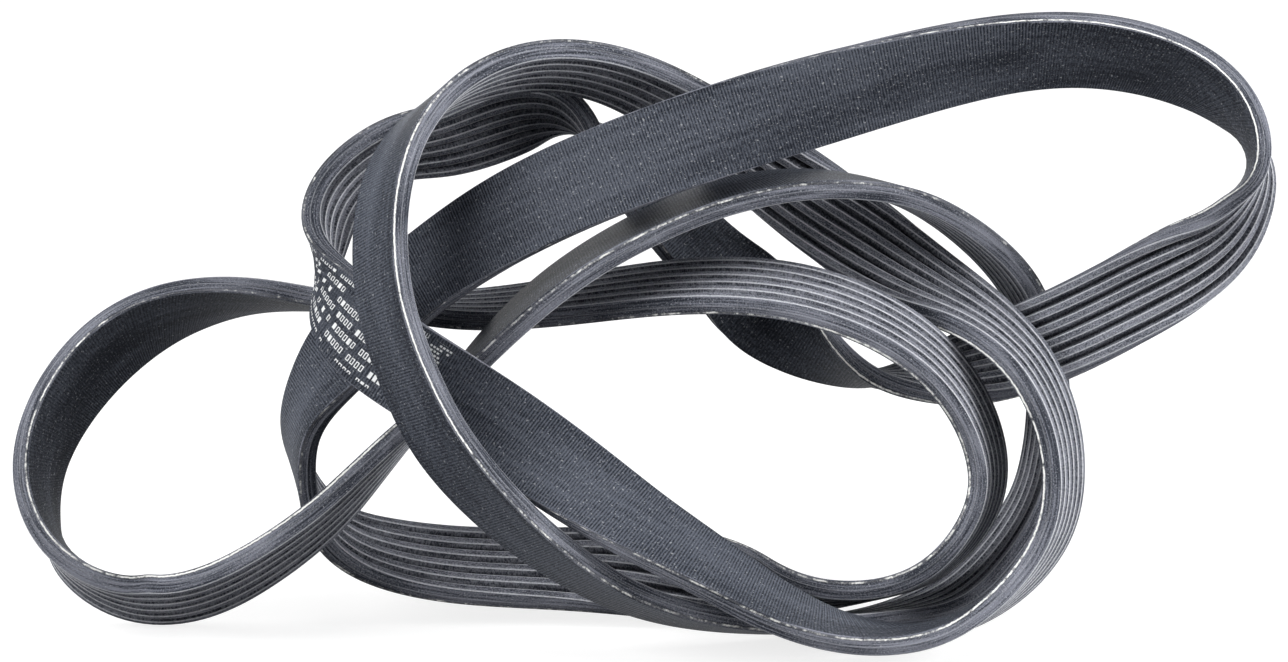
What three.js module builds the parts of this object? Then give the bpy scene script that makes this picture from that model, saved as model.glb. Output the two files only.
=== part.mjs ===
// Serpentine belt: an endless multi-rib drive belt of moulded rubber, lying in the
// loose loops that it springs into when nothing holds it. One cured piece: a flat
// back, a row of lengthwise V ribs on the other face, and two plain cut sides.
// Millimetres, +Z up, standing on the XY plane, with the origin under its middle.
import * as THREE from 'three';
import { mergeVertices } from 'three/addons/utils/BufferGeometryUtils.js';

// ---- the belt's section ----
const RIB_COUNT = 6;
const RIB_PITCH = 3.56;        // from one rib's middle to the next
const RIB_HEIGHT = 2.3;        // tip above the valley
const RIB_ANGLE = 40;          // degrees between a rib's two flanks
const BODY_THICKNESS = 2.3;    // back to valley, where the tension cords run
const VALLEY_FLAT = 0.2;       // narrow flat at the foot of each valley

// ---- how the route is laid out ----
const PLAN_UNIT = 1 / 4.3;     // mm for one unit of the front elevation below
const DEPTH_UNIT = 1;          // mm for one unit of nearness
const PLAN_MIDDLE = [644, 331];// units: right, down
const LEAN = 12;               // degrees that the elevation is tipped back from upright
const RINGS = 236;             // sections along the belt

// The route as a front elevation, walked once round the belt. Each station is
// [right, down, nearness, turn]: where the middle of the belt is, how far it
// stands towards the viewer, and how far it has rolled about its own length.
// At a turn of 0 the back faces the viewer, at -90 it faces left of the walk.
const ROUTE = [
  // right-hand bight
  [1265, 149, -10, -87],
  // long strand over the top, back of the belt showing
  [1221, 82, -5, -58], [1125, 48, -1, -48], [1010, 47, 3, -43], [850, 89, 6, -24],
  [700, 136, 8, 5], [560, 190, 4, 12], [476, 237, -5, 25], [415, 280, -11, 38],
  // drops behind the left-hand loops
  [357, 332, -13, 25], [304, 397, -18, 61], [291, 443, -22, 75], [301, 493, -28, 93],
  // runs along the surface at the rear
  [330, 538, -30, 115], [379, 557, -33, 132], [452, 569, -35, 139], [545, 571, -35, 144],
  [625, 572, -33, 158],
  // inner ring
  [701, 581, -28, 197], [777, 592, -28, 243], [853, 597, -16, 271], [935, 582, -13, 264],
  [993, 511, -11, 256], [992, 443, -12, 251], [954, 372, -4, 246], [891, 322, -1, 242],
  [800, 287, -8, 239], [704, 282, -12, 242], [618, 291, -22, 245], [528, 305, -31, 250],
  [448, 310, -35, 255],
  // neck of the left-hand loop, and the loop
  [375, 305, -35, 267], [312, 300, -32, 273], [250, 294, -28, 280], [172, 306, -21, 299],
  [111, 338, -17, 310], [61, 393, -15, 307], [30, 460, -13, 294], [36, 526, -14, 278],
  [62, 569, -15, 260], [111, 601, -22, 248], [166, 607, -23, 244],
  // rises from the left-hand loop
  [233, 585, -13, 247], [312, 531, -6, 251], [356, 487, -6, 257], [403, 434, -12, 266],
  // arch behind the inner ring
  [447, 392, -14, 273], [481, 352, -12, 279], [534, 300, -5, 283], [601, 251, -4, 283],
  [686, 209, -5, 284], [744, 191, -5, 284], [801, 182, -9, 280], [862, 184, -13, 275],
  [921, 197, -20, 268], [981, 234, -33, 261], [1028, 281, -46, 257],
  // falls behind the outer ring
  [1052, 335, -46, 257], [1058, 400, -44, 255],
  // passes under the inner ring
  [1052, 457, -38, 254], [1038, 508, -33, 252], [1002, 560, -31, 249], [955, 606, -28, 249],
  [886, 623, -22, 269],
  // front strand, sweeping up the left side
  [815, 629, -11, 271], [711, 622, -1, 276], [633, 602, 3, 282], [567, 565, 6, 289],
  [499, 510, 11, 297], [440, 441, 17, 304], [409, 372, 18, 301], [386, 305, 19, 300],
  [380, 228, 14, 297], [392, 163, 9, 293], [416, 120, 3, 280],
  // top arch, ribs showing
  [457, 88, -1, 262], [519, 65, -5, 250], [584, 65, -8, 244], [651, 87, -15, 236],
  [728, 138, -24, 220],
  // outer ring
  [808, 197, -30, 198], [864, 236, -35, 172], [934, 286, -31, 142], [981, 313, -20, 122],
  [1032, 357, -9, 116], [1061, 419, -8, 112], [1068, 481, -6, 109], [1058, 538, -5, 106],
  [1016, 592, -4, 100], [956, 627, 1, 92], [899, 638, 9, 82],
  // front diagonal, back of the belt showing
  [835, 632, 13, 76], [773, 607, 13, 66], [708, 565, 14, 58], [637, 524, 12, 46],
  [563, 473, 8, 25], [455, 397, 3, -6], [398, 362, 2, -5],
  // turns up behind the front strand
  [358, 331, 0, -22], [329, 293, -5, -52], [321, 250, -9, -106],
  // left-hand shoulder
  [327, 206, -12, -120], [355, 169, -15, -119], [397, 144, -18, -124],
  // short reach under the top arch, ribs showing
  [444, 140, -22, -136], [496, 121, -26, -143], [545, 106, -29, -128],
  // turned over, falling through the middle
  [582, 119, -30, -96], [620, 160, -33, -62], [667, 211, -36, -46], [721, 270, -36, -44],
  [777, 319, -34, 27], [829, 361, -32, 68], [882, 386, -33, 90], [938, 376, -34, 118],
  // reach back to the right-hand bight, ribs showing
  [995, 360, -31, 152], [1064, 336, -27, 172], [1152, 290, -25, 178], [1227, 247, -21, 220],
  [1257, 193, -15, 244],
];
const WHOLE_ROLL = 360;        // degrees that the turn gains in one walk round

const rad = THREE.MathUtils.degToRad;

// The section, x towards the back and y across the belt: the back, a cut side,
// then each rib from flank to flank, and the other side.
function beltSection() {
  const half = RIB_COUNT * RIB_PITCH / 2;
  const back = (BODY_THICKNESS + RIB_HEIGHT) / 2;
  const valley = back - BODY_THICKNESS, tip = valley - RIB_HEIGHT;
  const foot = (RIB_PITCH - VALLEY_FLAT) / 2;
  const crown = foot - RIB_HEIGHT * Math.tan(rad(RIB_ANGLE / 2));
  const section = new THREE.Shape();
  section.moveTo(back, -half);
  section.lineTo(back, half);
  section.lineTo(valley, half);
  for (let rib = RIB_COUNT - 1; rib >= 0; rib--) {
    const middle = (rib + 0.5) * RIB_PITCH - half;
    if (rib < RIB_COUNT - 1) section.lineTo(valley, middle + RIB_PITCH / 2);
    section.lineTo(tip, middle + crown);
    section.lineTo(tip, middle - crown);
  }
  section.lineTo(valley, -half);
  section.closePath();
  return section;
}

// The closed route: a smooth cubic drawn by the stations, with the section's
// directions from the turn at each place.
class BeltRoute extends THREE.Curve {
  constructor(stations) {
    super();
    this.stations = stations;
    this.arcLengthDivisions = stations.length * 24;
  }

  station(index) {
    const count = this.stations.length;
    const lap = Math.floor(index / count);
    const [right, down, near, turn] = this.stations[index - lap * count];
    return [(right - PLAN_MIDDLE[0]) * PLAN_UNIT, (PLAN_MIDDLE[1] - down) * PLAN_UNIT,
      near * DEPTH_UNIT, turn + lap * WHOLE_ROLL];
  }

  blend(t, weights) {
    const at = (((t % 1) + 1) % 1) * this.stations.length;
    const first = Math.floor(at), part = at - first, w = weights(part);
    const sum = [0, 0, 0, 0];
    for (let k = 0; k < 4; k++) {
      this.station(first + k - 1).forEach((value, axis) => { sum[axis] += w[k] * value; });
    }
    return sum;
  }

  place(t) {
    return this.blend(t, (f) => [(1 - f) ** 3 / 6, (3 * f ** 3 - 6 * f * f + 4) / 6,
      (-3 * f ** 3 + 3 * f * f + 3 * f + 1) / 6, f ** 3 / 6]);
  }

  heading(t) {
    return this.blend(t, (f) => [-((1 - f) ** 2) / 2, (9 * f * f - 12 * f) / 6,
      (-9 * f * f + 6 * f + 3) / 6, f * f / 2]);
  }

  getPoint(t, target = new THREE.Vector3()) {
    const [x, y, z] = this.place(t);
    return target.set(x, y, z);
  }

  computeFrenetFrames(segments) {
    const tangents = [], normals = [], binormals = [];
    for (let i = 0; i <= segments; i++) {
      const t = this.getUtoTmapping(i / segments);
      const [dx, dy, dz] = this.heading(t);
      const along = new THREE.Vector3(dx, dy, dz).normalize();
      const facing = new THREE.Vector3(0, 0, 1).addScaledVector(along, -along.z).normalize();
      const aside = new THREE.Vector3().crossVectors(along, facing);
      const turn = rad(this.place(t)[3]);
      const back = facing.multiplyScalar(Math.cos(turn)).addScaledVector(aside, Math.sin(turn));
      tangents.push(along);
      normals.push(back);
      binormals.push(new THREE.Vector3().crossVectors(along, back));
    }
    return { tangents, normals, binormals };
  }
}

// Sweeps the section once round the route. The belt is endless, so only the
// swept walls are kept and the last ring is joined to the first.
function sweptBelt(section, route, rings) {
  const swept = new THREE.ExtrudeGeometry(section, {
    steps: rings, extrudePath: route, bevelEnabled: false,
  });
  const walls = swept.groups.find((group) => group.materialIndex === 1);
  const all = swept.getAttribute('position');
  const kept = new Float32Array(all.array.slice(walls.start * 3, (walls.start + walls.count) * 3));
  const ring = new THREE.BufferGeometry();
  ring.setAttribute('position', new THREE.BufferAttribute(kept, 3));
  return mergeVertices(ring, 1e-3);
}

const belt = sweptBelt(beltSection(), new BeltRoute(ROUTE), RINGS);

// Stand the elevation up, lean it back, and set it down on the XY plane.
belt.rotateX(rad(90 - LEAN));
belt.computeBoundingBox();
const box = belt.boundingBox, centre = box.getCenter(new THREE.Vector3());
belt.translate(-centre.x, -centre.y, -box.min.z);
belt.computeVertexNormals();

const rubber = new THREE.MeshStandardMaterial({
  name: 'rubber', color: 0x2c3037, roughness: 0.78, metalness: 0,
});

const beltMesh = new THREE.Mesh(belt, rubber);
beltMesh.name = 'belt';

const part = new THREE.Group();
part.add(beltMesh);

export default part;
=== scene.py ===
# The serpentine belt, dressed. It is the model's own section, swept in finer steps on the
# model's own route, with a woven back, cut sides with their cord line, and grainy ribs.
import math

import bmesh
import bpy
from mathutils import Matrix, Vector
from mathutils.kdtree import KDTree


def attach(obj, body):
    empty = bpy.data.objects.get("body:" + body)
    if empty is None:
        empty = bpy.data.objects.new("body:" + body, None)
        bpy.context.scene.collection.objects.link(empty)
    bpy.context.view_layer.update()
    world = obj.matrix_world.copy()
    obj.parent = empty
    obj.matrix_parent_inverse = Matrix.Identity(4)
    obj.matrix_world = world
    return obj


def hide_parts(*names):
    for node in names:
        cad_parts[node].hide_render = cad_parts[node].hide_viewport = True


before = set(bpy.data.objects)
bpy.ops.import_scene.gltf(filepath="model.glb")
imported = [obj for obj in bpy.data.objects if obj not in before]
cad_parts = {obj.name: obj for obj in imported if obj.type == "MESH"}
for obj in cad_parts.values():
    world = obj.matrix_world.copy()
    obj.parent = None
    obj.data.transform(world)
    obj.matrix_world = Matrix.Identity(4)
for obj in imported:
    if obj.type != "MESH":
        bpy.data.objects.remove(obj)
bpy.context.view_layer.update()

MM = 0.001

# ---- the belt's section, in millimetres ----
RIB_COUNT = 6
RIB_PITCH = 3.56
RIB_HEIGHT = 2.3
RIB_ANGLE = 40                 # between the two flanks of a rib, in degrees
BODY_THICKNESS = 2.3
VALLEY_FLAT = 0.2
EDGE_BREAK = 0.22              # the small rounding of the back's corners and of the tips
CORD_DEPTH = 0.58              # from the back to the middle of the cord line on a side

HALF_WIDTH = RIB_COUNT * RIB_PITCH / 2
BACK_FACE = (BODY_THICKNESS + RIB_HEIGHT) / 2      # from the middle of the thickness
FLANK_SLOPE = math.tan(math.radians(RIB_ANGLE / 2))
HALF_FOOT = (RIB_PITCH - VALLEY_FLAT) / 2
HALF_TIP = HALF_FOOT - RIB_HEIGHT * FLANK_SLOPE

# ---- how the route is laid out ----
PLAN_UNIT = 1 / 4.3            # millimetres to one step right or down
DEPTH_UNIT = 1                 # millimetres to one step nearer
PLAN_MIDDLE = (644, 331)       # the station step that the camera looks at
LEAN = 12                      # how far the tangle leans back, in degrees
RINGS = 1500                   # sections swept along the route
FINE = 24                      # steps from one station to the next when the route is measured

# The same stations as the model's: right, down, nearness, turn.
ROUTE = [
    # right-hand bight
    (1265, 149, -10, -87),
    # long strand over the top, back of the belt showing
    (1221, 82, -5, -58), (1125, 48, -1, -48), (1010, 47, 3, -43), (850, 89, 6, -24),
    (700, 136, 8, 5), (560, 190, 4, 12), (476, 237, -5, 25), (415, 280, -11, 38),
    # drops behind the left-hand loops
    (357, 332, -13, 25), (304, 397, -18, 61), (291, 443, -22, 75), (301, 493, -28, 93),
    # runs along the surface at the rear
    (330, 538, -30, 115), (379, 557, -33, 132), (452, 569, -35, 139), (545, 571, -35, 144),
    (625, 572, -33, 158),
    # inner ring
    (701, 581, -28, 197), (777, 592, -28, 243), (853, 597, -16, 271), (935, 582, -13, 264),
    (993, 511, -11, 256), (992, 443, -12, 251), (954, 372, -4, 246), (891, 322, -1, 242),
    (800, 287, -8, 239), (704, 282, -12, 242), (618, 291, -22, 245), (528, 305, -31, 250),
    (448, 310, -35, 255),
    # neck of the left-hand loop, and the loop
    (375, 305, -35, 267), (312, 300, -32, 273), (250, 294, -28, 280), (172, 306, -21, 299),
    (111, 338, -17, 310), (61, 393, -15, 307), (30, 460, -13, 294), (36, 526, -14, 278),
    (62, 569, -15, 260), (111, 601, -22, 248), (166, 607, -23, 244),
    # rises from the left-hand loop
    (233, 585, -13, 247), (312, 531, -6, 251), (356, 487, -6, 257), (403, 434, -12, 266),
    # arch behind the inner ring
    (447, 392, -14, 273), (481, 352, -12, 279), (534, 300, -5, 283), (601, 251, -4, 283),
    (686, 209, -5, 284), (744, 191, -5, 284), (801, 182, -9, 280), (862, 184, -13, 275),
    (921, 197, -20, 268), (981, 234, -33, 261), (1028, 281, -46, 257),
    # falls behind the outer ring
    (1052, 335, -46, 257), (1058, 400, -44, 255),
    # passes under the inner ring
    (1052, 457, -38, 254), (1038, 508, -33, 252), (1002, 560, -31, 249), (955, 606, -28, 249),
    (886, 623, -22, 269),
    # front strand, sweeping up the left side
    (815, 629, -11, 271), (711, 622, -1, 276), (633, 602, 3, 282), (567, 565, 6, 289),
    (499, 510, 11, 297), (440, 441, 17, 304), (409, 372, 18, 301), (386, 305, 19, 300),
    (380, 228, 14, 297), (392, 163, 9, 293), (416, 120, 3, 280),
    # top arch, ribs showing
    (457, 88, -1, 262), (519, 65, -5, 250), (584, 65, -8, 244), (651, 87, -15, 236),
    (728, 138, -24, 220),
    # outer ring
    (808, 197, -30, 198), (864, 236, -35, 172), (934, 286, -31, 142), (981, 313, -20, 122),
    (1032, 357, -9, 116), (1061, 419, -8, 112), (1068, 481, -6, 109), (1058, 538, -5, 106),
    (1016, 592, -4, 100), (956, 627, 1, 92), (899, 638, 9, 82),
    # front diagonal, back of the belt showing
    (835, 632, 13, 76), (773, 607, 13, 66), (708, 565, 14, 58), (637, 524, 12, 46),
    (563, 473, 8, 25), (455, 397, 3, -6), (398, 362, 2, -5),
    # turns up behind the front strand
    (358, 331, 0, -22), (329, 293, -5, -52), (321, 250, -9, -106),
    # left-hand shoulder
    (327, 206, -12, -120), (355, 169, -15, -119), (397, 144, -18, -124),
    # short reach under the top arch, ribs showing
    (444, 140, -22, -136), (496, 121, -26, -143), (545, 106, -29, -128),
    # turned over, falling through the middle
    (582, 119, -30, -96), (620, 160, -33, -62), (667, 211, -36, -46), (721, 270, -36, -44),
    (777, 319, -34, 27), (829, 361, -32, 68), (882, 386, -33, 90), (938, 376, -34, 118),
    # reach back to the right-hand bight, ribs showing
    (995, 360, -31, 152), (1064, 336, -27, 172), (1152, 290, -25, 178), (1227, 247, -21, 220),
    (1257, 193, -15, 244),
]
WHOLE_ROLL = 360               # how far the belt rolls over in one lap, in degrees


# ---- the route ----
def station(index):
    """A station in millimetres and degrees, counted on past the end for another lap."""
    lap, place = divmod(index, len(ROUTE))
    right, down, near, turn = ROUTE[place]
    return ((right - PLAN_MIDDLE[0]) * PLAN_UNIT, (PLAN_MIDDLE[1] - down) * PLAN_UNIT,
            near * DEPTH_UNIT, turn + lap * WHOLE_ROLL)


def blend_stations(t, weights):
    """Four neighbouring stations added up by weight, at t from 0 to 1 round the belt."""
    at = (t % 1.0) * len(ROUTE)
    first = math.floor(at)
    shares = weights(at - first)
    total = [0.0, 0.0, 0.0, 0.0]
    for k, share in enumerate(shares):
        for axis, value in enumerate(station(first + k - 1)):
            total[axis] += share * value
    return total


def place_on_route(t):
    return blend_stations(t, lambda f: ((1 - f) ** 3 / 6, (3 * f ** 3 - 6 * f * f + 4) / 6,
                                        (-3 * f ** 3 + 3 * f * f + 3 * f + 1) / 6, f ** 3 / 6))


def heading_on_route(t):
    return blend_stations(t, lambda f: (-((1 - f) ** 2) / 2, (9 * f * f - 12 * f) / 6,
                                        (-9 * f * f + 6 * f + 3) / 6, f * f / 2))


def route_runs():
    """Millimetres along the belt at every fine step of the route."""
    steps = len(ROUTE) * FINE
    points = [Vector(place_on_route(i / steps)[:3]) for i in range(steps + 1)]
    runs = [0.0]
    for here, there in zip(points, points[1:]):
        runs.append(runs[-1] + (there - here).length)
    return runs


RUNS = route_runs()
BELT_LENGTH = RUNS[-1]


def run_at(index):
    """Millimetres along the belt at a station, which may be a fraction."""
    return RUNS[round(index * FINE)]


def even_steps(count):
    """Route parameters of rings evenly spaced along the belt."""
    steps, j = [], 0
    for i in range(count):
        goal = BELT_LENGTH * i / count
        while RUNS[j + 1] < goal:
            j += 1
        steps.append((j + (goal - RUNS[j]) / (RUNS[j + 1] - RUNS[j])) / (len(ROUTE) * FINE))
    return steps


def frame_at(t):
    """The section's seat at t: columns are towards the back, across and along, in mm."""
    x, y, z, turn = place_on_route(t)
    along = Vector(heading_on_route(t)[:3]).normalized()
    facing = (Vector((0, 0, 1)) - along * along.z).normalized()
    aside = along.cross(facing)
    back = facing * math.cos(math.radians(turn)) + aside * math.sin(math.radians(turn))
    across = along.cross(back)
    seat = Matrix((back, across, along)).transposed().to_4x4()
    seat.translation = (x, y, z)
    return seat


# ---- the section ----
def belt_section():
    """Corners of the section as (towards back, across, zone of the wall that follows)."""
    valley = BACK_FACE - BODY_THICKNESS
    tip = valley - RIB_HEIGHT
    e = EDGE_BREAK
    corners = [(BACK_FACE, -HALF_WIDTH + e, "back"), (BACK_FACE, HALF_WIDTH - e, "side"),
               (BACK_FACE - e, HALF_WIDTH, "side"), (valley, HALF_WIDTH, "side")]
    for rib in range(RIB_COUNT - 1, -1, -1):
        middle = (rib + 0.5) * RIB_PITCH - HALF_WIDTH
        if rib < RIB_COUNT - 1:
            corners.append((valley, middle + HALF_FOOT, "groove"))
        corners += [(tip + e, middle + HALF_TIP + e * FLANK_SLOPE, "tip"),
                    (tip, middle + HALF_TIP - e, "tip"),
                    (tip, middle - HALF_TIP + e, "tip"),
                    (tip + e, middle - HALF_TIP - e * FLANK_SLOPE,
                     "groove" if rib > 0 else "side")]
        if rib > 0:
            corners.append((valley, middle - HALF_FOOT, "groove"))
    corners += [(valley, -HALF_WIDTH, "side"), (BACK_FACE - e, -HALF_WIDTH, "side")]
    return corners


# ---- the belt ----
ZONES = ("back", "side", "groove", "tip")
HOOP = 100.0                   # radius of the round hoop that the belt starts as


def spin_hoop(bm, corners):
    """The section, drawn upright beside the axis and spun into a round hoop."""
    verts = [bm.verts.new((HOOP + x, 0, y)) for x, y, _ in corners]
    edges = [bm.edges.new((a, b)) for a, b in zip(verts, verts[1:] + verts[:1])]
    bmesh.ops.spin(bm, geom=verts + edges, cent=(0, 0, 0), axis=(0, 0, 1), dvec=(0, 0, 0),
                   angle=2 * math.pi, steps=RINGS, use_merge=True, use_duplicate=False)


def places_on_hoop(bm, corners):
    """Which ring, and which corner of the section, each point of the hoop is."""
    nearest = KDTree(len(corners))
    for k, (x, y, _) in enumerate(corners):
        nearest.insert((x, y, 0), k)
    nearest.balance()
    ring_of, corner_of = {}, {}
    for v in bm.verts:
        ring_of[v] = round(math.atan2(v.co.y, v.co.x) / (2 * math.pi) * RINGS) % RINGS
        corner_of[v] = nearest.find((math.hypot(v.co.x, v.co.y) - HOOP, v.co.z, 0))[1]
    return ring_of, corner_of


def mark_zones(bm, corners, ring_of, corner_of):
    """Each wall's material, and the belt's own coordinates in metres: along the belt, and
    across it or, on a side, down from the back."""
    lay = bm.loops.layers.uv.new("lay")
    for face in bm.faces:
        ks = {corner_of[v] for v in face.verts}
        wall = min(ks) if max(ks) - min(ks) == 1 else max(ks)
        zone = corners[wall][2]
        face.material_index = ZONES.index(zone)
        face.smooth = True
        closes_hoop = {0, RINGS - 1} <= {ring_of[v] for v in face.verts}
        for loop in face.loops:
            x, y, _ = corners[corner_of[loop.vert]]
            ring = ring_of[loop.vert]
            if closes_hoop and ring == 0:
                ring = RINGS
            aside = BACK_FACE - x if zone == "side" else y + HALF_WIDTH
            loop[lay].uv = (ring * BELT_LENGTH / RINGS * MM, aside * MM)
    for edge in bm.edges:
        a, b = edge.verts
        if corner_of[a] == corner_of[b]:
            edge.smooth = False          # each wall of the section stays crisp


def set_on_route(bm, ring_of):
    """Takes each ring off the hoop and sets it on the route."""
    upright = Matrix(((1, 0, 0, 0), (0, 0, 1, 0), (0, 1, 0, 0), (0, 0, 0, 1)))
    moves = []
    for ring, t in enumerate(even_steps(RINGS)):
        unwind = Matrix.Rotation(-2 * math.pi * ring / RINGS, 4, "Z")
        off = Matrix.Translation((-HOOP, 0, 0)) @ unwind
        moves.append(frame_at(t) @ upright @ off)
    for v in bm.verts:
        v.co = moves[ring_of[v]] @ v.co


def stand_on_floor(bm):
    """Leans the belt back and stands it on the middle of the floor; gives the shift in mm."""
    lean = Matrix.Rotation(math.radians(90 - LEAN), 4, "X")
    bmesh.ops.transform(bm, matrix=lean, verts=bm.verts)
    low = Vector([min(v.co[a] for v in bm.verts) for a in range(3)])
    high = Vector([max(v.co[a] for v in bm.verts) for a in range(3)])
    shift = Vector((-(low.x + high.x) / 2, -(low.y + high.y) / 2, -low.z))
    bmesh.ops.translate(bm, vec=shift, verts=bm.verts)
    bmesh.ops.scale(bm, vec=(MM, MM, MM), verts=bm.verts)
    return shift


def make_belt():
    """The dressed belt, and the shift in mm that stood it on the floor."""
    corners = belt_section()
    bm = bmesh.new()
    spin_hoop(bm, corners)
    ring_of, corner_of = places_on_hoop(bm, corners)
    mark_zones(bm, corners, ring_of, corner_of)
    set_on_route(bm, ring_of)
    bmesh.ops.recalc_face_normals(bm, faces=bm.faces)
    shift = stand_on_floor(bm)
    mesh = bpy.data.meshes.new("belt_dressed")
    bm.to_mesh(mesh)
    bm.free()
    belt = bpy.data.objects.new("belt_dressed", mesh)
    bpy.context.collection.objects.link(belt)
    return belt, shift


# ---- materials ----
IN_MM = 1000                   # units to the metre, for a pattern laid out in millimetres


class Nodes:
    """A material's node tree, with short calls for the nodes used here."""

    def __init__(self, name):
        self.material = bpy.data.materials.new(name)
        self.material.use_nodes = True
        self.tree = self.material.node_tree
        self.shader = self.tree.nodes["Principled BSDF"]
        self.shader.inputs["Metallic"].default_value = 0.0

    def add(self, kind, **settings):
        node = self.tree.nodes.new(kind)
        for key, value in settings.items():
            setattr(node, key, value)
        return node

    def join(self, out, into):
        self.tree.links.new(out, into)

    def lay(self, along=IN_MM, across=IN_MM, shift=(0, 0, 0)):
        """The belt's own coordinates, in so many units to the metre along and across."""
        uv = self.add("ShaderNodeUVMap", uv_map="lay")
        fit = self.add("ShaderNodeMapping")
        fit.inputs["Scale"].default_value = (along, across, IN_MM)
        fit.inputs["Location"].default_value = shift
        self.join(uv.outputs["UV"], fit.inputs["Vector"])
        return fit.outputs["Vector"]

    def noise(self, along, across, detail, rough, shift=(0, 0, 0)):
        """Noise from 0 to 1 with so many grains to the metre along and across."""
        node = self.add("ShaderNodeTexNoise")
        node.inputs["Scale"].default_value = 1.0
        node.inputs["Detail"].default_value = detail
        node.inputs["Roughness"].default_value = rough
        self.join(self.lay(along, across, shift), node.inputs["Vector"])
        return node.outputs["Fac"]

    def ramp(self, value, low, high, out_low=0.0, out_high=1.0):
        node = self.add("ShaderNodeMapRange", interpolation_type="SMOOTHSTEP")
        node.inputs["From Min"].default_value = low
        node.inputs["From Max"].default_value = high
        node.inputs["To Min"].default_value = out_low
        node.inputs["To Max"].default_value = out_high
        self.join(value, node.inputs["Value"])
        return node.outputs["Result"]

    def math(self, operation, a, b=None):
        node = self.add("ShaderNodeMath", operation=operation)
        for socket, value in zip(node.inputs, (a, b)):
            if value is None:
                continue
            if isinstance(value, (int, float)):
                socket.default_value = value
            else:
                self.join(value, socket)
        return node.outputs["Value"]

    def chain(self, operation, *values):
        """One value out of several, taken together from left to right."""
        result = values[0]
        for value in values[1:]:
            result = self.math(operation, result, value)
        return result

    def total(self, *weighted):
        """The sum of (value, weight) pairs."""
        return self.chain("ADD", *(self.math("MULTIPLY", value, weight)
                                   for value, weight in weighted))

    def about_zero(self, value, spread):
        """A value from 0 to 1 turned into one from -spread/2 to spread/2."""
        return self.math("MULTIPLY", self.math("SUBTRACT", value, 0.5), spread)

    def away_from(self, value, middle):
        return self.math("ABSOLUTE", self.math("SUBTRACT", value, middle))

    def mix(self, share, a, b):
        node = self.add("ShaderNodeMix", data_type="RGBA")
        for socket, value in ((node.inputs["Factor"], share), (node.inputs["A"], a),
                              (node.inputs["B"], b)):
            if isinstance(value, tuple):
                socket.default_value = (*value, 1.0)
            else:
                self.join(value, socket)
        return node.outputs["Result"]

    def mix_some(self, value, share, a, b):
        """As mix, with b at its fullest only share of the colour."""
        return self.mix(self.math("MULTIPLY", value, share), a, b)

    def band(self, value, low, high, soft):
        """1 between low and high, fading to 0 over soft on either side."""
        return self.math("MULTIPLY", self.ramp(value, low - soft, low + soft),
                         self.ramp(value, high - soft, high + soft, 1.0, 0.0))

    def split(self, vector):
        node = self.add("ShaderNodeSeparateXYZ")
        self.join(vector, node.inputs["Vector"])
        return node.outputs["X"], node.outputs["Y"]

    def bump(self, height, distance, strength):
        node = self.add("ShaderNodeBump")
        node.inputs["Strength"].default_value = strength
        node.inputs["Distance"].default_value = distance
        self.join(height, node.inputs["Height"])
        self.join(node.outputs["Normal"], self.shader.inputs["Normal"])


BACK_DARK = (0.013, 0.015, 0.021)
BACK_LIGHT = (0.100, 0.110, 0.136)
DUST = (0.42, 0.43, 0.45)
SIDE_DARK = (0.030, 0.034, 0.045)
SIDE_LIGHT = (0.240, 0.250, 0.295)
CORD_WHITE = (0.90, 0.90, 0.88)
CORD_SHADE = (0.010, 0.011, 0.015)
# painted shade for the bottom of each groove between the ribs
VALLEY_PAINTED_SHADE = (0.006, 0.007, 0.010)
FLANK_DARK = (0.045, 0.049, 0.062)
FLANK_LIGHT = (0.270, 0.280, 0.320)
TIP_DARK = (0.045, 0.050, 0.064)
TIP_LIGHT = (0.285, 0.295, 0.340)
# pale colour of the grain's specks, also used for the painted highlights along rib edges
PALE_SPECK_AND_HIGHLIGHT = (0.600, 0.610, 0.650)
INK = (0.86, 0.87, 0.88)
RUBBER_SHINE = 0.05            # specular level of every face of the belt


# How clearly the cord line shows on the cut sides: station, strength.
CORD_SHOWS = [
    (0, 0.85), (2, 0.75), (4, 0.25), (7, 0.15), (20, 0.40), (25, 0.55), (28, 0.20), (34, 0.15),
    (36, 0.55), (39, 0.60), (41, 0.85), (44, 0.90), (46, 0.40), (50, 0.45), (52, 0.20), (56, 0.10),
    (61, 0.30), (65, 0.40), (68, 0.35), (70, 0.85), (73, 0.80), (75, 0.20), (80, 0.10), (84, 0.72),
    (88, 0.74), (92, 0.35), (104, 0.10), (112, 0.70), (117, 0.15), (119, 0.80),
]


# Patches of plain open and filled boxes on the back. Each has its first and last station,
# its lowest and highest place across, the gap from row to row, the pitch along a row and
# the width of a stroke, in millimetres.
PLAIN_MARKS = [
    (97.0, 100.2, 1.6, 20.3, 3.1, 1.25, 0.22),
    (106.9, 107.9, 3.0, 18.5, 7.0, 4.2, 1.0),
    (96.85, 97.20, 14.0, 20.0, 0.9, 0.9, 0.25),
]
STAGGER = 0.37                 # how far each row starts behind the one before, in pitches
BOX_LEFT, BOX_RIGHT = 0.1, 0.78      # of the pitch
BOX_LOW, BOX_TALL = 0.2, 0.52        # of the gap
OPEN_SHARE = 0.56              # of all boxes
MARKED_SHARE = 0.68            # open and filled together; the rest are missing
MARK_SOFT = 0.3                # how softly a stroke ends, in strokes
PATCH_EDGE = 0.05              # how softly a patch ends, in millimetres


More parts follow.
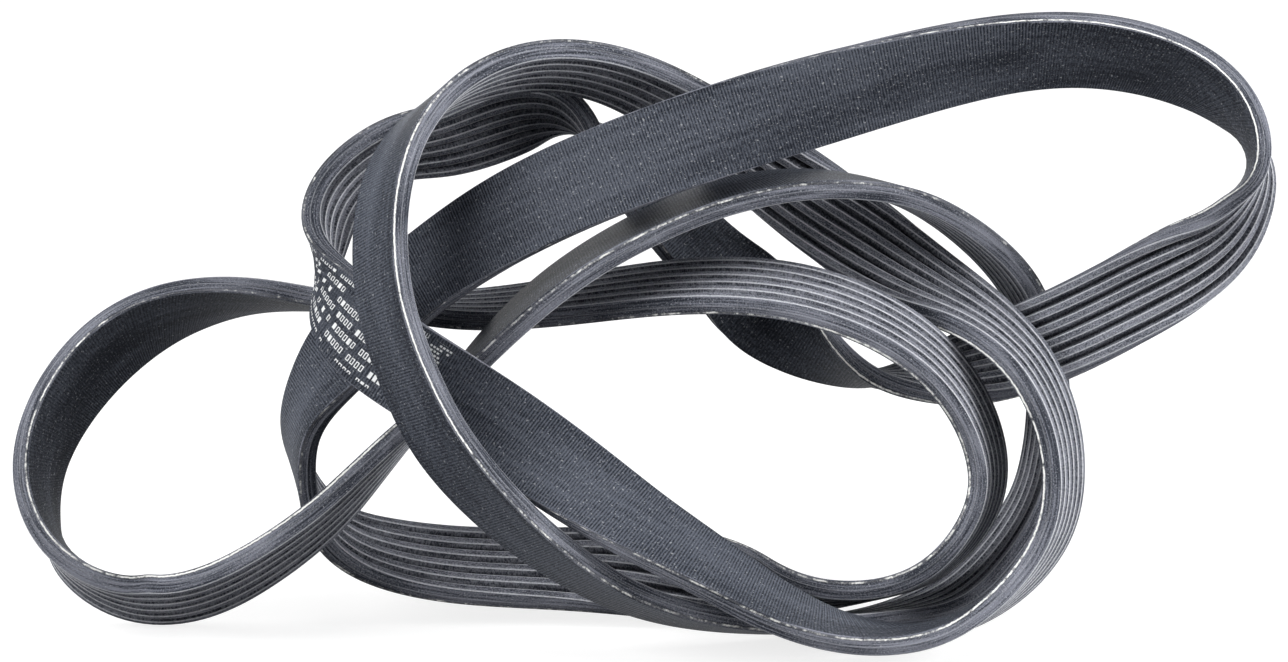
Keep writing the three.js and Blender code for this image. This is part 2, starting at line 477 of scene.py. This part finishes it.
def boxed_marks(n, first, last, low, high, gap, pitch, stroke):
    """Rows of small open boxes, some of them filled or missing, between two stations."""
    along, across = n.split(n.lay())
    start = run_at(first)
    along = n.math("SUBTRACT", along, start)
    row = n.math("FLOOR", n.math("DIVIDE", across, gap))
    along = n.math("ADD", along, n.math("MULTIPLY", row, STAGGER * pitch))
    place = n.math("FLOOR", n.math("DIVIDE", along, pitch))
    pair = n.add("ShaderNodeCombineXYZ")
    n.join(place, pair.inputs["X"])
    n.join(row, pair.inputs["Y"])
    pick = n.add("ShaderNodeTexWhiteNoise", noise_dimensions="2D")
    n.join(pair.outputs["Vector"], pick.inputs["Vector"])
    pick = pick.outputs["Value"]
    x = n.math("MODULO", along, pitch)
    y = n.math("MODULO", across, gap)
    soft = MARK_SOFT * stroke
    left, right = BOX_LEFT * pitch, BOX_RIGHT * pitch
    bottom, top = BOX_LOW * gap, (BOX_LOW + BOX_TALL) * gap
    outer = n.math("MULTIPLY", n.band(x, left, right, soft), n.band(y, bottom, top, soft))
    inner = n.chain("MULTIPLY", n.band(x, left + stroke, right - stroke, soft),
                    n.band(y, bottom + stroke, top - stroke, soft),
                    n.ramp(pick, OPEN_SHARE, OPEN_SHARE + 0.01, 1.0, 0.0))
    kept = n.ramp(pick, MARKED_SHARE, MARKED_SHARE + 0.01, 1.0, 0.0)
    return n.chain("MULTIPLY", outer, n.math("SUBTRACT", 1.0, inner), kept,
                   n.band(along, 0.0, run_at(last) - start, PATCH_EDGE),
                   n.band(across, low, high, PATCH_EDGE))


def back_finish():
    """Smooth back: weft lines across, brushed streaks, clouds of grey, pale specks, marks."""
    n = Nodes("fabric-marked back")
    wave = n.add("ShaderNodeTexWave", wave_type="BANDS", bands_direction="X",
                 wave_profile="SIN")
    wave.inputs["Scale"].default_value = 0.44
    wave.inputs["Distortion"].default_value = 1.8
    wave.inputs["Detail"].default_value = 2.0
    wave.inputs["Detail Scale"].default_value = 0.5
    n.join(n.lay(IN_MM, 130), wave.inputs["Vector"])
    weft = wave.outputs["Fac"]
    weft_shows = n.ramp(n.noise(9, 26, 2.0, 0.5, (4, 2, 0)), 0.35, 0.60, 0.04, 0.16)
    threads = n.noise(1900, 700, 3.0, 0.75)
    grain = n.noise(2300, 2500, 3.0, 0.8)
    streaks = n.noise(22, 640, 3.0, 0.6)
    cloud = n.noise(20, 70, 3.0, 0.55)
    tone = n.total((weft, weft_shows), (threads, 0.34), (cloud, 0.26), (streaks, 0.16),
                   (grain, 0.26))
    colour = n.mix(n.ramp(tone, 0.46, 0.68), BACK_DARK, BACK_LIGHT)
    specks = n.ramp(n.noise(1250, 1250, 1.0, 0.6, (7, 3, 0)), 0.66, 0.74)
    colour = n.mix_some(specks, 0.50, colour, DUST)
    flecks = n.ramp(n.noise(2200, 2200, 0.0, 0.5, (1, 8, 0)), 0.68, 0.80)
    colour = n.mix_some(flecks, 0.30, colour, DUST)
    ink = n.chain("MAXIMUM", *(boxed_marks(n, *patch) for patch in PLAIN_MARKS))
    worn = n.ramp(threads, 0.30, 0.46, 0.35, 1.0)
    colour = n.mix_some(ink, worn, colour, INK)
    n.join(colour, n.shader.inputs["Base Color"])
    n.join(n.ramp(grain, 0.3, 0.7, 0.46, 0.66), n.shader.inputs["Roughness"])
    n.shader.inputs["Specular IOR Level"].default_value = RUBBER_SHINE
    n.bump(n.total((weft, 0.5), (threads, 1.0), (grain, 0.8)), 0.12 * MM, 0.7)
    return n.material


def cord_strength(n, along):
    """CORD_SHOWS as a value that changes smoothly along the belt."""
    shows = n.add("ShaderNodeValToRGB")
    stops = shows.color_ramp.elements
    stops[1].position = 1.0
    for index, strength in CORD_SHOWS:
        stop = stops[0] if index == 0 else stops.new(run_at(index) / BELT_LENGTH)
        stop.color = (strength, strength, strength, 1)
    stops[-1].color = stops[0].color
    n.join(n.math("DIVIDE", along, BELT_LENGTH), shows.inputs["Fac"])
    return shows.outputs["Color"]


def side_finish():
    """Cut side: long knife streaks and rubber grain, the white cord line near the back."""
    n = Nodes("cut side with cord line")
    along, down = n.split(n.lay())
    streaks = n.noise(60, 2000, 3.0, 0.65)
    grain = n.noise(2300, 2700, 3.0, 0.8)
    cloud = n.noise(35, 160, 2.0, 0.5)
    tone = n.total((streaks, 0.44), (grain, 0.32), (cloud, 0.26))
    colour = n.mix(n.ramp(tone, 0.42, 0.61), SIDE_DARK, SIDE_LIGHT)
    salt = n.ramp(n.noise(2300, 2300, 1.0, 0.6, (5, 1, 0)), 0.60, 0.74)
    colour = n.mix_some(salt, 0.40, colour, PALE_SPECK_AND_HIGHLIGHT)
    # painted highlight: a paler line along the edge at the outer rib's foot
    painted_foot_highlight = n.ramp(n.away_from(down, BODY_THICKNESS), 0.05, 0.24, 0.16, 0.0)
    colour = n.mix(painted_foot_highlight, colour, PALE_SPECK_AND_HIGHLIGHT)
    # the cord line wanders and frays, whole in some stretches and only flecks in others
    wander = n.about_zero(n.noise(40, 0, 3.0, 0.5), 0.50)
    fray = n.about_zero(n.noise(900, 500, 3.0, 0.7), 0.55)
    off_line = n.away_from(n.chain("ADD", down, wander, fray), CORD_DEPTH)
    whole = n.total((n.noise(230, 120, 4.0, 0.75, (3, 0, 0)), 1.0),
                    (cord_strength(n, along), 0.30))
    cord = n.math("MULTIPLY", n.ramp(off_line, 0.13, 0.31, 1.0, 0.0),
                  n.ramp(whole, 0.56, 0.72, 0.05, 1.0))
    colour = n.mix(n.ramp(off_line, 0.15, 0.55, 0.35, 0.0), colour, CORD_SHADE)
    colour = n.mix(cord, colour, CORD_WHITE)
    n.join(colour, n.shader.inputs["Base Color"])
    n.shader.inputs["Roughness"].default_value = 0.80
    n.shader.inputs["Specular IOR Level"].default_value = RUBBER_SHINE
    n.bump(n.total((streaks, 1.0), (grain, 1.0), (cord, 1.2)), 0.16 * MM, 0.8)
    return n.material


def from_rib_middle(n):
    """Millimetres across from the middle of the nearest rib."""
    across = n.split(n.lay())[1]
    return n.away_from(n.math("MODULO", across, RIB_PITCH), RIB_PITCH / 2)


def groove_finish():
    """Flanks of the ribs: pale and grainy at the tip, with painted shade, near black, down in the
    valley.
    """
    n = Nodes("rib flanks")
    grain = n.noise(1900, 2700, 3.0, 0.8)
    drag = n.noise(120, 1900, 2.0, 0.6)
    tone = n.total((grain, 0.65), (drag, 0.35))
    colour = n.mix(n.ramp(tone, 0.40, 0.62), FLANK_DARK, FLANK_LIGHT)
    # painted shade: each flank darkens towards black down in the valley
    down = n.ramp(from_rib_middle(n), HALF_TIP + 0.25, HALF_FOOT, 0.0, 0.55)
    colour = n.mix(down, colour, VALLEY_PAINTED_SHADE)
    n.join(colour, n.shader.inputs["Base Color"])
    n.shader.inputs["Roughness"].default_value = 0.75
    n.shader.inputs["Specular IOR Level"].default_value = RUBBER_SHINE
    n.bump(n.math("ADD", grain, drag), 0.16 * MM, 0.8)
    return n.material


def tip_finish():
    """Rib tips: grainy fibre-loaded rubber, with a painted highlight along both edges."""
    n = Nodes("fibre-loaded rib tips")
    grain = n.noise(2100, 2700, 4.0, 0.8)
    fibres = n.noise(420, 2900, 3.0, 0.7)
    worn = n.noise(45, 130, 3.0, 0.55)
    tone = n.total((grain, 0.54), (fibres, 0.24), (worn, 0.24))
    colour = n.mix(n.ramp(tone, 0.43, 0.60), TIP_DARK, TIP_LIGHT)
    salt = n.ramp(n.noise(2300, 2300, 1.0, 0.6, (2, 6, 0)), 0.60, 0.74)
    colour = n.mix_some(salt, 0.40, colour, PALE_SPECK_AND_HIGHLIGHT)
    # painted highlight: pale along both edges of each tip, broken up by the grain
    painted_edge_highlight = n.math("MULTIPLY", n.ramp(from_rib_middle(n), 0.52, 0.78),
                    n.ramp(grain, 0.30, 0.60, 0.40, 1.0))
    colour = n.mix(painted_edge_highlight, colour, PALE_SPECK_AND_HIGHLIGHT)
    n.join(colour, n.shader.inputs["Base Color"])
    n.shader.inputs["Roughness"].default_value = 0.84
    n.shader.inputs["Specular IOR Level"].default_value = RUBBER_SHINE
    n.bump(n.math("ADD", grain, fibres), 0.20 * MM, 0.9)
    return n.material


belt, seat = make_belt()
for finish in (back_finish, side_finish, groove_finish, tip_finish):
    belt.data.materials.append(finish())
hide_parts("belt")
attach(belt, "root")


# ---- floor, light and camera ----
FLOOR_REACH = 5                # metres from the middle to each edge
PAPER_GREY = 0.36
PAPER_GLOW = 0.80              # the floor's own brightness, so that it shows nearly white
WORLD_LEVEL = 0.06             # the light that the world adds from all round

# Each lamp's name, place, aim, size and power in watts.
LAMPS = [
    ("left softbox", (-0.90, -0.62, 0.67), (0, 0, 0.07), (0.90, 0.80), 16),
    ("right softbox", (1.00, -0.26, 0.43), (0, 0, 0.07), (0.60, 0.60), 15),
    ("top softbox", (0.05, -0.35, 1.2), (0, 0, 0.05), (0.9, 0.7), 5),
    ("rear softbox", (-0.20, 1.20, 0.36), (0, 0, 0.07), (0.60, 0.50), 2.5),
]

PICTURE_PIXELS = 1288          # across
SENSOR = 36.0                  # millimetres across
VIEW_DISTANCE = 2.0            # metres


def seen_directly(tree, strength):
    """Strength for camera, glossy and see-through rays, and 0 for light that falls on things."""
    rays = tree.nodes.new("ShaderNodeLightPath")
    value = rays.outputs["Is Camera Ray"]
    for ray in ("Is Glossy Ray", "Is Transmission Ray"):
        either = tree.nodes.new("ShaderNodeMath")
        either.operation = "MAXIMUM"
        tree.links.new(value, either.inputs[0])
        tree.links.new(rays.outputs[ray], either.inputs[1])
        value = either.outputs["Value"]
    share = tree.nodes.new("ShaderNodeMath")
    share.operation = "MULTIPLY"
    share.inputs[1].default_value = strength
    tree.links.new(value, share.inputs[0])
    return share.outputs["Value"]


def make_floor():
    bm = bmesh.new()
    bmesh.ops.create_grid(bm, x_segments=1, y_segments=1, size=FLOOR_REACH)
    mesh = bpy.data.meshes.new("floor")
    bm.to_mesh(mesh)
    bm.free()
    floor = bpy.data.objects.new("floor", mesh)
    bpy.context.collection.objects.link(floor)
    paper = bpy.data.materials.new("white paper")
    paper.use_nodes = True
    tree = paper.node_tree
    matt = tree.nodes["Principled BSDF"]
    matt.inputs["Base Color"].default_value = (PAPER_GREY, PAPER_GREY, PAPER_GREY, 1)
    matt.inputs["Roughness"].default_value = 1.0
    matt.inputs["Specular IOR Level"].default_value = 0.0
    glow = tree.nodes.new("ShaderNodeEmission")
    tree.links.new(seen_directly(tree, PAPER_GLOW), glow.inputs["Strength"])
    both = tree.nodes.new("ShaderNodeAddShader")
    tree.links.new(matt.outputs["BSDF"], both.inputs[0])
    tree.links.new(glow.outputs["Emission"], both.inputs[1])
    tree.links.new(both.outputs["Shader"], tree.nodes["Material Output"].inputs["Surface"])
    floor.data.materials.append(paper)


def soft_lamp(name, place, aim, size, power):
    light = bpy.data.lights.new(name, "AREA")
    light.shape = "RECTANGLE"
    light.size, light.size_y = size
    light.energy = power
    lamp = bpy.data.objects.new(name, light)
    lamp.location = place
    lamp.rotation_euler = (Vector(aim) - Vector(place)).to_track_quat("-Z", "Y").to_euler()
    bpy.context.collection.objects.link(lamp)


def light_world():
    """A white world for what looks at it, and a faint one for what it lights."""
    world = bpy.data.worlds.new("studio")
    bpy.context.scene.world = world
    world.use_nodes = True
    sky = world.node_tree
    background = sky.nodes["Background"]
    background.inputs["Color"].default_value = (1, 1, 1, 1)
    level = sky.nodes.new("ShaderNodeMath")
    level.operation = "MAXIMUM"
    level.inputs[1].default_value = WORLD_LEVEL
    sky.links.new(seen_directly(sky, 1.0), level.inputs[0])
    sky.links.new(level.outputs["Value"], background.inputs["Strength"])


def set_camera(seat):
    """Square on to the plan of the route, at the photograph's scale."""
    picture_width = PICTURE_PIXELS * PLAN_UNIT * MM
    lens = bpy.data.cameras.new("camera")
    lens.sensor_width = SENSOR
    lens.lens = SENSOR * VIEW_DISTANCE / picture_width
    camera = bpy.data.objects.new("camera", lens)
    bpy.context.collection.objects.link(camera)
    towards = Vector((0, -math.cos(math.radians(LEAN)), math.sin(math.radians(LEAN))))
    camera.location = seat * MM + towards * VIEW_DISTANCE
    camera.rotation_euler = (math.radians(90 - LEAN), 0, 0)
    bpy.context.scene.camera = camera


make_floor()
for lamp in LAMPS:
    soft_lamp(*lamp)
light_world()
set_camera(seat)
bpy.context.scene.view_settings.view_transform = "Standard"
